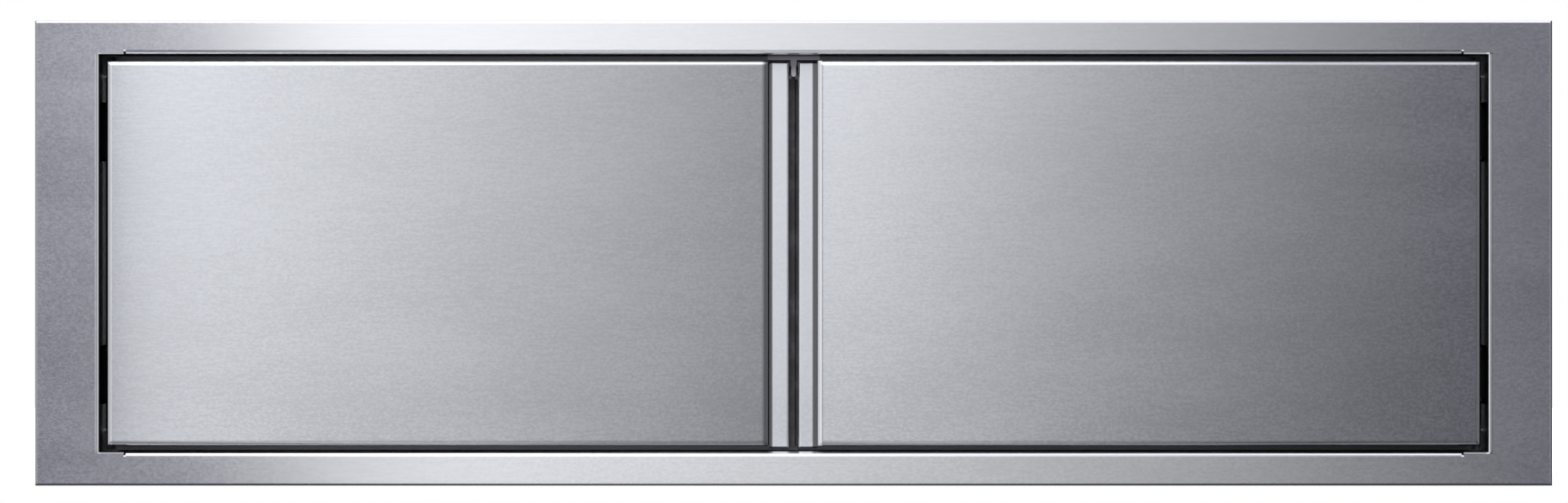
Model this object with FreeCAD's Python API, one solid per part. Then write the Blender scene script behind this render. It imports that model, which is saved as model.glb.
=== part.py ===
"""Double access door for an outdoor kitchen: flanged frame, two folded doors on concealed hinges.

Millimetres. X to the right, Y to the back, Z up. The origin is the centre of the opening on the
mounting plane, the plane of the flange return's rear edge. Depths are counted backwards from the
front plane of the flange.
"""
import FreeCAD, Part
import math
import os

Vector = FreeCAD.Vector

# Face frame
FRAME_W = 1067.0            # outside width of the flange
FRAME_H = 327.0             # outside height of the flange
SIDE_FLANGE = 45.5          # flange width beside the opening, wide enough to cover the hinges
END_FLANGE = 23.5           # flange width above and below the opening
SHEET = 1.2                 # stainless sheet of the frame and the doors
FLANGE_DEPTH = 8.0          # outer return that stands on the cabinet face
EDGE_BEND = 1.8             # outside radius of the outer return's bend
LIP_BEND = 3.0              # outside radius of the bend into the opening
LIP_DEPTH = 12.0            # depth of the lips round the opening
CORNER_RELIEF = 18.5        # bare edge between a top or bottom lip and the side of the opening
RELIEF_SLOT = 1.6           # slot that ends the bend of a top or bottom lip

# Jambs and stop
FOLD_R = 1.2                # inside radius of every other fold in the sheet
JAMB_CLEAR = 0.4            # the jamb starts this far behind the lip's bend
STOP_W = 14.0               # the stop flange reaches this far into the opening
STOP_CLEAR = 2.0            # room between the hinge arms and the stop
CORNER_FIT = 0.2            # assembly gap where a side jamb meets an end jamb
FIXING_SPREAD = 600.0       # distance between the two fixing holes of an end jamb
FIXING_R = 2.75             # radius of a fixing hole
FIXING_DEPTH = 22.0         # depth of the fixing holes behind the front plane

# Doors
REVEAL = 4.5                # gap between a door and the opening
MEETING_GAP = 6.0           # gap between the two doors
DOOR_DEPTH = 32.0           # thickness of a closed door
PANEL_BEND = 3.6            # outside radius of the front panel's bends
PULL_LIP = 14.0             # width of the bright strip beside the meeting gap
PULL_DEPTH = 20.0           # depth of the strip behind the front plane
EDGE_RETURN = 8.0           # return on the panel's pull edge
UNDERCUT = 16.0             # room for fingers behind the pull edge
STRIP_DROP = 2.5            # the strip and its seal reach this far below the panel
CHANNEL_FOLD = 0.5          # inside radius of the pull channel's tight folds
WELD_FLANGE = 14.0          # flange that joins the pull channel to the panel
REAR_FLANGE = 20.0          # flange that joins the pull channel to the liner
LINER_RETURN = 10.0         # return round the liner
LINER_FIT = 0.15            # gap between the liner and the skin round it
LINER_SETBACK = 0.5         # edge of the liner behind the door's free edge
LINER_CLEAR = 2.0           # room between the liner's returns and the pull channel
CHANNEL_FIT = 0.1           # gap between the pull channel and the skin round it
CAP_FIT = 0.2               # gap between the channel's end return and the skin beside it
STIFFENER_W = 40.0          # crown of the hat-shaped stiffener
STIFFENER_DEPTH = 12.0
STIFFENER_FOOT = 15.0
STIFFENER_MARGIN = 10.0     # distance from the stiffener's end to the door's end

# Concealed hinges
PIVOT_OUT = 12.0            # pivot axis outside the edge of the opening
PIVOT_DEPTH = 9.0           # pivot axis behind the front plane
HINGE_INSET = 54.0          # middle of a hinge from the top or bottom of the opening
WINDOW_H = 42.0             # height of the jamb's window for a hinge arm
WINDOW_R = 4.0              # rounded corner of that window
WINDOW_FRONT = 3.2          # front edge of the window in the lip
WINDOW_CLEAR = 1.3          # room between a closed arm and the window's rear edge
ARM_T = 3.0                 # hinge arm plate
ARM_CLEAR = 4.0             # room above and below an arm in its window
ARM_REACH = 70.0            # length of the arm along the door's back, from the pivot
ARM_FOLD = 3.0              # inside radius of the arm's fold
ARM_END_R = 6.0             # rounded corners of the arm's end
BARREL_R = 6.5
PIN_R = 3.0
RUN_FIT = 0.05              # radial play of the pin in its sleeve
SEAT_FIT = 0.05             # radial play of the sleeves in the barrels and of the pins in their ears
SLEEVE_WALL = 1.5           # nylon sleeve in an arm's barrel
SLEEVE_PROUD = 1.0          # sleeve beyond each end of the barrel
AXIAL_PLAY = 0.3            # play between a sleeve and a bracket ear
PLATE_T = 2.0               # hinge bracket plate
PLATE_FRONT = 1.6           # front edge of the bracket plate behind the front plane
PLATE_BRIDGE = 2.8          # strip of the bracket plate in front of its window
PLATE_REAR = 3.2            # strip of the bracket plate behind its window
PLATE_MARGIN = 14.7         # bracket plate beyond its ears, welded to the jamb
EAR_R = 7.0
PIN_HEAD_R = 5.0
PIN_HEAD_T = 2.0
PIN_TAIL = 2.2              # pin below the lower ear; the pins drop in from above
COVER_T = 1.2               # moulded cover over a hinge
COVER_CLEAR = 0.9           # room between the cover and the pin's ends
COVER_ROOM = 2.0            # room between the cover and the arm's barrel and neck
COVER_BEND = 2.0            # inside radius of the cover's rear corner

# Fasteners
SCREW_R = 2.0
SCREW_HEAD_R = 3.8
SCREW_HEAD_T = 1.8
SCREW_CLEAR = 0.1
ARM_SCREW_SIDE = 15.5       # outer screw of an arm from the door's hinge edge
ARM_SCREW_EDGE = 10.0       # inner screw from the end of the arm
BACKING_T = 3.0
BACKING_H = 34.0
BACKING_EDGE = 8.0          # backing plate beyond the screws
SCREW_TIP = 0.8             # screw beyond its backing plate

# Magnetic catches and the centre strike
CATCH_X = 70.0              # catch centre from the middle of the frame
CATCH_W = 46.0
CATCH_H = 13.0
CATCH_DEPTH = 12.0
CATCH_EDGE_R = 1.5
CATCH_SCREW_EDGE = 4.0
CATCH_SCREW_R = 1.5
CATCH_SCREW_L = 8.0
CATCH_HEAD_R = 2.8
CATCH_HEAD_T = 1.6
NOSE_W = 24.0               # magnet nose that reaches through the tab
NOSE_H = 8.0
NOSE_CLEAR = 0.5
NOSE_GAP = 0.3              # gap between the nose and the keeper of a closed door
TAB_MARGIN = 2.0            # tab of the stop beyond the catch
TAB_R = 3.0
CENTRE_TAB_W = 30.0         # middle tab of the stop, behind the meeting gap
CENTRE_TAB_DROP = 8.0
KEEPER_INSET = 3.0          # end of a keeper from the end of its catch
KEEPER_H = 12.0
KEEPER_T = 1.0
KEEPER_CORNER = 2.0
STRIKE_T = 1.5
STRIKE_W = 37.0
STRIKE_SETBACK = 1.0        # face of the strike behind the lip
STRIKE_LENGTH = 22.0
STRIKE_CLEAR = 1.0          # room between the strike and the top of a door
STRIKE_FOLD = 1.0
TONGUE_HEAD_W = 4.4         # tongue in front of the meeting gap: head, then a narrow tail
TONGUE_HEAD_DROP = 2.5      # head below the top of the doors
TONGUE_W = 3.4
TONGUE_DROP = 10.8          # tail below the top of the doors

# Seals
SEAL_GAP = 0.3              # uncompressed seal to the face it closes against
GASKET_W = 6.0
GASKET_INSET = 1.0          # gasket from the inner edge of the stop
GASKET_R = 1.6              # rounded nose of a gasket
GASKET_BREAK = 2.0          # gap between a gasket's end and a hinge arm
FIN_GAP = 0.4               # meeting seal to the middle plane
FIN_SETBACK = 4.0           # meeting seal behind the bright strip
FIN_T = 4.0
FIN_R = 1.2
FIN_CLEAR = 1.2             # upper end of the meeting seal below the tongue that it swings past

# Sizes that follow from those above
HALF_W = FRAME_W / 2 - SIDE_FLANGE          # half width of the opening
HALF_H = FRAME_H / 2 - END_FLANGE           # half height of the opening
DOOR_TOP = HALF_H - REVEAL
DOOR_SIDE = HALF_W - REVEAL                 # hinge edge of a door
DOOR_EDGE = MEETING_GAP / 2                 # free edge of a door
PANEL_EDGE = DOOR_EDGE + PULL_LIP           # pull edge of the front panel
CHANNEL_X = PANEL_EDGE + UNDERCUT           # back wall of the pull channel
LINER_FRONT = DOOR_DEPTH - SHEET
JAMB_X = HALF_W + SHEET                     # inner face of a side jamb, lapped on the lip
JAMB_Z = HALF_H + SHEET                     # inner face of an end jamb
JAMB_FRONT = LIP_BEND + JAMB_CLEAR
STOP_FRONT = DOOR_DEPTH + ARM_T + STOP_CLEAR
STOP_REAR = STOP_FRONT + SHEET
HINGE_Z = HALF_H - HINGE_INSET              # height of the upper hinge, and depth of the lower
STOP_X = HALF_W - STOP_W
STOP_Z = HALF_H - STOP_W
PIVOT_X = HALF_W + PIVOT_OUT
ARM_REAR = DOOR_DEPTH + ARM_T
ARM_END = PIVOT_X - ARM_REACH
WINDOW_REAR = ARM_REAR + WINDOW_CLEAR
PLATE_X = JAMB_X + SHEET                    # bracket plate's seat on the jamb
ARM_H = WINDOW_H - 2 * ARM_CLEAR
EAR_Z = WINDOW_H / 2 + AXIAL_PLAY           # inner face of a bracket ear, from the hinge's middle
BARREL_TOP = WINDOW_H / 2 - SLEEVE_PROUD    # end of the arm's barrel, from the hinge's middle
ARM_SCREW_X = (ARM_END + ARM_SCREW_EDGE, DOOR_SIDE - ARM_SCREW_SIDE)
SLEEVE_R = PIN_R + RUN_FIT + SLEEVE_WALL
KEEPER_REAR = DOOR_DEPTH + KEEPER_T
CATCH_Z = STOP_Z - TAB_MARGIN - CATCH_H / 2
CATCH_SCREW_X = CATCH_W / 2 - CATCH_SCREW_EDGE
STRIKE_FRONT = LIP_DEPTH + STRIKE_SETBACK
FIN_DEPTH = PULL_DEPTH + FIN_SETBACK
OVERCUT = 1.0                               # cutting bodies pass a face by this much


def depth(d):
    """Y of a depth behind the front plane."""
    return d - FLANGE_DEPTH


def block(x0, x1, d0, d1, z0, z1):
    return Part.makeBox(x1 - x0, d1 - d0, z1 - z0, Vector(x0, depth(d0), z0))


def rod(axis, x, d, z, radius, length):
    """Cylinder that starts at a point and runs along +X, +Y or +Z."""
    return Part.makeCylinder(radius, length, Vector(x, depth(d), z), axis)


ALONG_X = Vector(1, 0, 0)
ALONG_Y = Vector(0, 1, 0)
ALONG_Z = Vector(0, 0, 1)


def edges_along(shape, axis, keep):
    """Straight edges parallel to an axis whose middle point passes the test."""
    chosen = []
    for edge in shape.Edges:
        ends = [vertex.Point for vertex in edge.Vertexes]
        if len(ends) == 2 and (ends[1] - ends[0]).cross(axis).Length < 1e-6:
            if keep((ends[0] + ends[1]) * 0.5):
                chosen.append(edge)
    return chosen


def rounded(shape, axis, radius, keep=lambda middle: True):
    return shape.makeFillet(radius, edges_along(shape, axis, keep))


def bent_block(x0, x1, d0, d1, z0, z1, radius, bent_at):
    """Block whose face at depth bent_at is bent round on all four sides, mitred at the corners."""
    on_face = lambda middle: abs(middle.y - depth(bent_at)) < 1e-6
    core = block(x0, x1, d0, d1, z0, z1)
    return rounded(core, ALONG_X, radius, on_face).common(rounded(core, ALONG_Z, radius, on_face))


def corner_offset(before, corner, after, distance):
    """Corner of a path moved to the path's left, parallel to both of its legs."""
    normals = []
    for start, end in ((before, corner), (corner, after)):
        leg = end - start
        normals.append(Vector(-leg.y, leg.x, 0) * (1 / leg.Length))
    return corner + (normals[0] + normals[1]) * (distance / (1 + normals[0].dot(normals[1])))


def end_offset(start, end, at, distance):
    leg = end - start
    return at + Vector(-leg.y, leg.x, 0) * (distance / leg.Length)


def rounded_path(points, radii, place):
    """Edges of a path with a tangent arc at each inner corner."""
    edges = []
    last = points[0]
    for index, radius in enumerate(radii):
        corner = points[index + 1]
        back = points[index] - corner
        ahead = points[index + 2] - corner
        back = back * (1 / back.Length)
        ahead = ahead * (1 / ahead.Length)
        half_angle = math.acos(back.dot(ahead)) / 2
        bisector = (back + ahead) * (1 / (back + ahead).Length)
        run = radius / math.tan(half_angle)
        middle = corner + bisector * (radius / math.sin(half_angle) - radius)
        start = corner + back * run
        end = corner + ahead * run
        edges.append(Part.makeLine(place(last), place(start)))
        edges.append(Part.Arc(place(start), place(middle), place(end)).toShape())
        last = end
    edges.append(Part.makeLine(place(last), place(points[-1])))
    return edges


def folded(corners, thickness, inside_r, axis, start, end):
    """Sheet folded along a path of (across, depth) corners, on the left of the path.

    Along Z, across is X. Along X, across is Z.
    """
    path = [Vector(across, d, 0) for across, d in corners]
    other = [end_offset(path[0], path[1], path[0], thickness)]
    path_radii = []
    other_radii = []
    for before, corner, after in zip(path, path[1:], path[2:]):
        other.append(corner_offset(before, corner, after, thickness))
        turns_left = (corner - before).cross(after - corner).z > 0
        path_radii.append(inside_r + thickness if turns_left else inside_r)
        other_radii.append(inside_r if turns_left else inside_r + thickness)
    other.append(end_offset(path[-2], path[-1], path[-1], thickness))
    if axis is ALONG_Z:
        place = lambda point: Vector(point.x, depth(point.y), start)
    else:
        place = lambda point: Vector(start, depth(point.y), point.x)
    edges = rounded_path(path, path_radii, place)
    edges += rounded_path(other, other_radii, place)
    edges.append(Part.makeLine(place(path[0]), place(other[0])))
    edges.append(Part.makeLine(place(path[-1]), place(other[-1])))
    face = Part.Face(Part.Wire(Part.__sortEdges__(edges)))
    return face.extrude(axis * (end - start))


def mirrored(shape, axis):
    return shape.mirror(Vector(0, 0, 0), axis)


def raised(shape, z):
    copy = shape.copy()
    copy.translate(Vector(0, 0, z))
    return copy


def both_hinges(shape):
    """A hinge piece, modelled at mid height, at the upper and the lower hinge."""
    return [raised(shape, sign * HINGE_Z) for sign in (1, -1)]


def hinge_window(x0, x1, front):
    """Cutting body of a hinge window at mid height, rounded at its corners."""
    cut = block(x0, x1, front, WINDOW_REAR, -WINDOW_H / 2, WINDOW_H / 2)
    return rounded(cut, ALONG_X, WINDOW_R)


def arm_screw_holes():
    start = LINER_FRONT - BACKING_T - OVERCUT
    length = ARM_REAR + OVERCUT - start
    radius = SCREW_R + SCREW_CLEAR
    return Part.makeCompound([rod(ALONG_Y, x, start, 0, radius, length) for x in ARM_SCREW_X])


def face_frame():
    """Flange plate with its outer return, and bent lips round the opening."""
    half_w = FRAME_W / 2
    half_h = FRAME_H / 2
    shell = bent_block(-half_w, half_w, 0, FLANGE_DEPTH, -half_h, half_h, EDGE_BEND, 0)
    hollow = bent_block(-half_w + SHEET, half_w - SHEET, SHEET, FLANGE_DEPTH + OVERCUT,
                        -half_h + SHEET, half_h - SHEET, EDGE_BEND - SHEET, SHEET)
    lip_end = HALF_W - CORNER_RELIEF
    bend_x = HALF_W + LIP_BEND
    bend_z = HALF_H + LIP_BEND
    slot_x = lip_end + RELIEF_SLOT
    plate = shell.cut(hollow)
    plate = plate.cut(block(-bend_x, bend_x, -OVERCUT, FLANGE_DEPTH, -HALF_H, HALF_H))
    plate = plate.cut(block(-slot_x, slot_x, -OVERCUT, FLANGE_DEPTH, -bend_z, bend_z))
    side = folded([(HALF_W, LIP_DEPTH), (HALF_W, 0), (bend_x + SHEET, 0)],
                  SHEET, LIP_BEND - SHEET, ALONG_Z, -HALF_H, HALF_H)
    for window in both_hinges(hinge_window(HALF_W - OVERCUT, bend_x, WINDOW_FRONT)):
        side = side.cut(window)
    end = folded([(HALF_H, LIP_DEPTH), (HALF_H, 0), (bend_z + SHEET, 0)],
                 SHEET, LIP_BEND - SHEET, ALONG_X, -lip_end, lip_end)
    lips = [side, mirrored(side, ALONG_X), end, mirrored(end, ALONG_Z)]
    return plate.fuse(lips).removeSplitter()


def side_jamb():
    """Right jamb: lining of the opening and door stop, notched for the hinge arms."""
    jamb = folded([(STOP_X, STOP_FRONT), (JAMB_X, STOP_FRONT), (JAMB_X, JAMB_FRONT)],
                  SHEET, FOLD_R, ALONG_Z, -JAMB_Z, JAMB_Z)
    corner = block(STOP_X - OVERCUT, PLATE_X + OVERCUT, STOP_FRONT - FOLD_R - CORNER_FIT,
                   STOP_REAR + OVERCUT, STOP_Z - CORNER_FIT, JAMB_Z + OVERCUT)
    cuts = [corner, mirrored(corner, ALONG_Z)]
    cuts += both_hinges(hinge_window(JAMB_X - OVERCUT, PLATE_X + OVERCUT, WINDOW_FRONT))
    return jamb.cut(cuts)


def end_jamb():
    """Top jamb without fittings: lining, door stop and fixing holes."""
    jamb = folded([(STOP_Z, STOP_FRONT), (JAMB_Z, STOP_FRONT), (JAMB_Z, JAMB_FRONT)],
                  SHEET, FOLD_R, ALONG_X, -PLATE_X, PLATE_X)
    holes = [rod(ALONG_Z, sign * FIXING_SPREAD / 2, FIXING_DEPTH, JAMB_Z - OVERCUT, FIXING_R,
                 SHEET + 2 * OVERCUT) for sign in (1, -1)]
    return jamb.cut(holes)


def catch_holes(radius, start, length):
    return [rod(ALONG_Y, CATCH_X + side, start, CATCH_Z, radius, length)
            for side in (-CATCH_SCREW_X, CATCH_SCREW_X)]


def stop_tab(x, half_w, low):
    """Tab that hangs from the top stop down to a height, rounded at its lower corners."""
    tab = block(x - half_w, x + half_w, STOP_FRONT, STOP_REAR, low, STOP_Z + OVERCUT)
    return rounded(tab, ALONG_Y, TAB_R, lambda middle: middle.z < (low + STOP_Z) / 2)


def top_jamb():
    """End jamb with a tab for each magnetic catch and one behind the meeting gap."""
    tab = stop_tab(CATCH_X, CATCH_W / 2 + TAB_MARGIN, CATCH_Z - CATCH_H / 2 - TAB_MARGIN)
    nose_w = NOSE_W / 2 + NOSE_CLEAR
    nose_h = NOSE_H / 2 + NOSE_CLEAR
    cuts = [block(CATCH_X - nose_w, CATCH_X + nose_w, STOP_FRONT - OVERCUT, STOP_REAR + OVERCUT,
                  CATCH_Z - nose_h, CATCH_Z + nose_h)]
    cuts += catch_holes(CATCH_SCREW_R + SCREW_CLEAR, STOP_FRONT - OVERCUT, SHEET + 2 * OVERCUT)
    tab = tab.cut(cuts)
    centre = stop_tab(0, CENTRE_TAB_W / 2, STOP_Z - CENTRE_TAB_DROP)
    return end_jamb().fuse([tab, mirrored(tab, ALONG_X), centre]).removeSplitter()


def gasket(x0, x1, z0, z1, axis):
    """Rubber strip on the stop's front face with a rounded nose towards the door."""
    front = DOOR_DEPTH + SEAL_GAP
    strip = block(x0, x1, front, STOP_FRONT, z0, z1)
    return rounded(strip, axis, GASKET_R, lambda middle: abs(middle.y - depth(front)) < 1e-6)


def end_gasket():
    low = STOP_Z + GASKET_INSET
    reach = STOP_X + GASKET_INSET + GASKET_W
    return gasket(-reach, reach, low, low + GASKET_W, ALONG_X)


def side_gasket():
    """Three strips, interrupted where the hinge arms lie."""
    low = STOP_X + GASKET_INSET
    end = STOP_Z + GASKET_INSET - SEAL_GAP
    near = HINGE_Z - ARM_H / 2 - GASKET_BREAK
    far = HINGE_Z + ARM_H / 2 + GASKET_BREAK
    strips = [gasket(low, low + GASKET_W, z0, z1, ALONG_Z)
              for z0, z1 in ((-end, -far), (-near, near), (far, end))]
    return Part.makeCompound(strips)


def hinge_bracket():
    """Plate welded to the outside of the jamb with two ears for the pin, at mid height."""
    half_h = EAR_Z + PLATE_T + PLATE_MARGIN
    plate = block(PLATE_X, PLATE_X + PLATE_T, PLATE_FRONT, WINDOW_REAR + PLATE_REAR, -half_h, half_h)
    plate = plate.cut(hinge_window(PLATE_X - OVERCUT, PLATE_X + PLATE_T + OVERCUT,
                                   PLATE_FRONT + PLATE_BRIDGE))
    ear = block(PLATE_X + PLATE_T / 2, PIVOT_X, PIVOT_DEPTH - EAR_R, PIVOT_DEPTH + EAR_R,
                EAR_Z, EAR_Z + PLATE_T)
    ear = ear.fuse(rod(ALONG_Z, PIVOT_X, PIVOT_DEPTH, EAR_Z, EAR_R, PLATE_T))
    bracket = plate.fuse([ear, mirrored(ear, ALONG_Z)]).removeSplitter()
    reach = EAR_Z + PLATE_T + OVERCUT
    pin_hole = rod(ALONG_Z, PIVOT_X, PIVOT_DEPTH, -reach, PIN_R + SEAT_FIT, 2 * reach)
    return bracket.cut(pin_hole)


def hinge_cover():
    """Moulded cover over a hinge, seated on its bracket plate; the flange closes its front."""
    seat = PLATE_X + PLATE_T
    side = PIVOT_X + EAR_R + COVER_ROOM
    rear = ARM_REAR + COVER_ROOM
    inner_h = EAR_Z + PLATE_T + PIN_HEAD_T + COVER_CLEAR
    outer_h = inner_h + COVER_T
    wall = folded([(seat, rear), (side, rear), (side, PLATE_FRONT)], COVER_T, COVER_BEND, ALONG_Z,
                  -outer_h, outer_h)
    end = block(seat, side + COVER_T, PLATE_FRONT, rear + COVER_T, inner_h, outer_h)
    end = rounded(end, ALONG_Z, COVER_BEND + COVER_T,
                  lambda middle: middle.x > PIVOT_X and middle.y > depth(PIVOT_DEPTH))
    return wall.fuse([end, mirrored(end, ALONG_Z)]).removeSplitter()


def hinge_pin():
    """Headed pin that drops through both ears and the arm's barrel, at mid height."""
    top = EAR_Z + PLATE_T
    low = -top - PIN_TAIL
    pin = rod(ALONG_Z, PIVOT_X, PIVOT_DEPTH, low, PIN_R, top - low)
    head = rod(ALONG_Z, PIVOT_X, PIVOT_DEPTH, top, PIN_HEAD_R, PIN_HEAD_T)
    return pin.fuse(head).removeSplitter()


def hinge_arm():
    """Gooseneck arm: along the door's back, through the jamb's window, forward to its barrel."""
    neck_x = PIVOT_X - ARM_T / 2
    arm = folded([(ARM_END, DOOR_DEPTH), (neck_x, DOOR_DEPTH), (neck_x, PIVOT_DEPTH)],
                 ARM_T, ARM_FOLD, ALONG_Z, -ARM_H / 2, ARM_H / 2)
    arm = rounded(arm, ALONG_Y, ARM_END_R, lambda middle: abs(middle.x - ARM_END) < 1e-6)
    barrel = rod(ALONG_Z, PIVOT_X, PIVOT_DEPTH, -BARREL_TOP, BARREL_R, 2 * BARREL_TOP)
    bore = rod(ALONG_Z, PIVOT_X, PIVOT_DEPTH, -BARREL_TOP - OVERCUT, SLEEVE_R + SEAT_FIT,
               2 * (BARREL_TOP + OVERCUT))
    return arm.fuse(barrel).removeSplitter().cut([bore, arm_screw_holes()])


def hinge_sleeve():
    """Nylon sleeve through an arm's barrel; its ends take the thrust of the ears."""
    low = -BARREL_TOP - SLEEVE_PROUD
    sleeve = rod(ALONG_Z, PIVOT_X, PIVOT_DEPTH, low, SLEEVE_R, -2 * low)
    return sleeve.cut(rod(ALONG_Z, PIVOT_X, PIVOT_DEPTH, low, PIN_R + RUN_FIT, -2 * low))


def backing_plate():
    """Threaded plate inside the door behind a hinge arm."""
    plate = block(ARM_SCREW_X[0] - BACKING_EDGE, ARM_SCREW_X[1] + BACKING_EDGE,
                  LINER_FRONT - BACKING_T, LINER_FRONT, -BACKING_H / 2, BACKING_H / 2)
    return plate.cut(arm_screw_holes())


def hinge_screws():
    screws = []
    tip = LINER_FRONT - BACKING_T - SCREW_TIP
    for x in ARM_SCREW_X:
        shank = rod(ALONG_Y, x, tip, 0, SCREW_R, ARM_REAR - tip)
        head = rod(ALONG_Y, x, ARM_REAR, 0, SCREW_HEAD_R, SCREW_HEAD_T)
        screws.append(shank.fuse(head).removeSplitter())
    return Part.makeCompound(screws)


def door_skin():
    """Front panel folded back on four sides, with a short return at the pull edge."""
    skin = bent_block(PANEL_EDGE, DOOR_SIDE, 0, DOOR_DEPTH, -DOOR_TOP, DOOR_TOP, PANEL_BEND, 0)
    inner_top = DOOR_TOP - SHEET
    hollow = bent_block(PANEL_EDGE + SHEET, DOOR_SIDE - SHEET, SHEET, DOOR_DEPTH + OVERCUT,
                        -inner_top, inner_top, PANEL_BEND - SHEET, SHEET)
    mouth = block(PANEL_EDGE - OVERCUT, PANEL_EDGE + SHEET, EDGE_RETURN, DOOR_DEPTH + OVERCUT,
                  -inner_top, inner_top)
    return skin.cut([hollow, mouth])


def pull_channel():
    """Folded channel behind the pull edge: bright strip, finger room and the door's free edge."""
    half_h = DOOR_TOP - SHEET - CHANNEL_FIT
    strip_side = PANEL_EDGE - CAP_FIT
    path = [(DOOR_EDGE + REAR_FLANGE, LINER_FRONT), (DOOR_EDGE, LINER_FRONT), (DOOR_EDGE, PULL_DEPTH),
            (CHANNEL_X, PULL_DEPTH), (CHANNEL_X, SHEET), (CHANNEL_X + WELD_FLANGE, SHEET)]
    channel = folded(path, SHEET, CHANNEL_FOLD, ALONG_Z, -half_h - STRIP_DROP, half_h)
    beside_strip = block(strip_side, CHANNEL_X + WELD_FLANGE + OVERCUT, 0, DOOR_DEPTH,
                         -half_h - STRIP_DROP - OVERCUT, -half_h)
    notch = block(CHANNEL_X - OVERCUT, CHANNEL_X + WELD_FLANGE + OVERCUT, 0, PANEL_BEND,
                  DOOR_TOP - PANEL_BEND, DOOR_TOP)
    channel = channel.cut([beside_strip, notch, mirrored(notch, ALONG_Z)])
    cap = block(DOOR_EDGE, strip_side, PULL_DEPTH, DOOR_DEPTH, half_h, DOOR_TOP)
    at_front = lambda middle: abs(middle.y - depth(PULL_DEPTH)) < 1e-6
    at_top = lambda middle: at_front(middle) and middle.z > half_h + SHEET / 2
    at_free_edge = lambda middle: at_front(middle) and middle.x < DOOR_EDGE + PULL_LIP / 2
    cap = rounded(cap, ALONG_X, SHEET, at_top).common(
        rounded(cap, ALONG_Z, SHEET + CHANNEL_FOLD, at_free_edge))
    low_cap = raised(mirrored(cap, ALONG_Z), -STRIP_DROP)
    return channel.fuse([cap, low_cap]).removeSplitter()


def door_liner():
    """Rear skin of a door, returned on three sides and lapped on the pull channel."""
    bend = FOLD_R + SHEET
    edge = DOOR_EDGE + LINER_SETBACK
    side = DOOR_SIDE - SHEET - LINER_FIT
    half_h = DOOR_TOP - SHEET - LINER_FIT
    front = LINER_FRONT - LINER_RETURN
    liner = bent_block(edge - bend, side, front, DOOR_DEPTH, -half_h, half_h, bend, DOOR_DEPTH)
    hollow = bent_block(edge - 3 * bend, side - SHEET, front - OVERCUT, LINER_FRONT,
                        -half_h + SHEET, half_h - SHEET, FOLD_R, LINER_FRONT)
    beyond_edge = block(edge - 2 * bend, edge, front, DOOR_DEPTH + OVERCUT, -DOOR_TOP, DOOR_TOP)
    at_channel = block(edge - OVERCUT, CHANNEL_X + SHEET + LINER_CLEAR, front - OVERCUT, LINER_FRONT,
                       -DOOR_TOP, DOOR_TOP)
    return liner.cut([hollow, beyond_edge, at_channel] + both_hinges(arm_screw_holes()))


def door_stiffener():
    """Hat section welded behind the middle of the front panel."""
    centre = (PANEL_EDGE + DOOR_SIDE) / 2
    left = centre - STIFFENER_W / 2
    right = centre + STIFFENER_W / 2
    crown = SHEET + STIFFENER_DEPTH
    half_h = DOOR_TOP - STIFFENER_MARGIN
    path = [(left - STIFFENER_FOOT, SHEET), (left, SHEET), (left, crown),
            (right, crown), (right, SHEET), (right + STIFFENER_FOOT, SHEET)]
    return folded(path, SHEET, FOLD_R, ALONG_Z, -half_h, half_h)


def keeper_plate():
    """Steel plate welded to the liner for the magnet to hold."""
    half_w = CATCH_W / 2 - KEEPER_INSET
    half_h = KEEPER_H / 2
    plate = block(CATCH_X - half_w, CATCH_X + half_w, DOOR_DEPTH, KEEPER_REAR,
                  CATCH_Z - half_h, CATCH_Z + half_h)
    return rounded(plate, ALONG_Y, KEEPER_CORNER)


def meeting_seal():
    """Rubber strip on the free edge of a door, short of the middle plane."""
    low = -DOOR_TOP + SHEET - STRIP_DROP
    high = DOOR_TOP - TONGUE_DROP - FIN_CLEAR
    strip = block(FIN_GAP, DOOR_EDGE, FIN_DEPTH, FIN_DEPTH + FIN_T, low, high)
    return rounded(strip, ALONG_Z, FIN_R, lambda middle: abs(middle.x - FIN_GAP) < 1e-6)


def catch_magnet():
    """Magnet case on the rear of its tab, with a nose that reaches the door's keeper."""
    half_w = CATCH_W / 2
    half_h = CATCH_H / 2
    rear = STOP_REAR + CATCH_DEPTH
    case = bent_block(CATCH_X - half_w, CATCH_X + half_w, STOP_REAR, rear,
                      CATCH_Z - half_h, CATCH_Z + half_h, CATCH_EDGE_R, rear)
    nose = block(CATCH_X - NOSE_W / 2, CATCH_X + NOSE_W / 2, KEEPER_REAR + NOSE_GAP, STOP_REAR,
                 CATCH_Z - NOSE_H / 2, CATCH_Z + NOSE_H / 2)
    holes = catch_holes(CATCH_SCREW_R + SCREW_CLEAR, STOP_REAR - OVERCUT, CATCH_SCREW_L + OVERCUT)
    return case.fuse(nose).removeSplitter().cut(holes)


def catch_screws():
    screws = []
    for side in (-CATCH_SCREW_X, CATCH_SCREW_X):
        x = CATCH_X + side
        shank = rod(ALONG_Y, x, STOP_FRONT, CATCH_Z, CATCH_SCREW_R, CATCH_SCREW_L)
        head = rod(ALONG_Y, x, STOP_FRONT - CATCH_HEAD_T, CATCH_Z, CATCH_HEAD_R, CATCH_HEAD_T)
        screws.append(shank.fuse(head).removeSplitter())
    return Part.makeCompound(screws)


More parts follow.
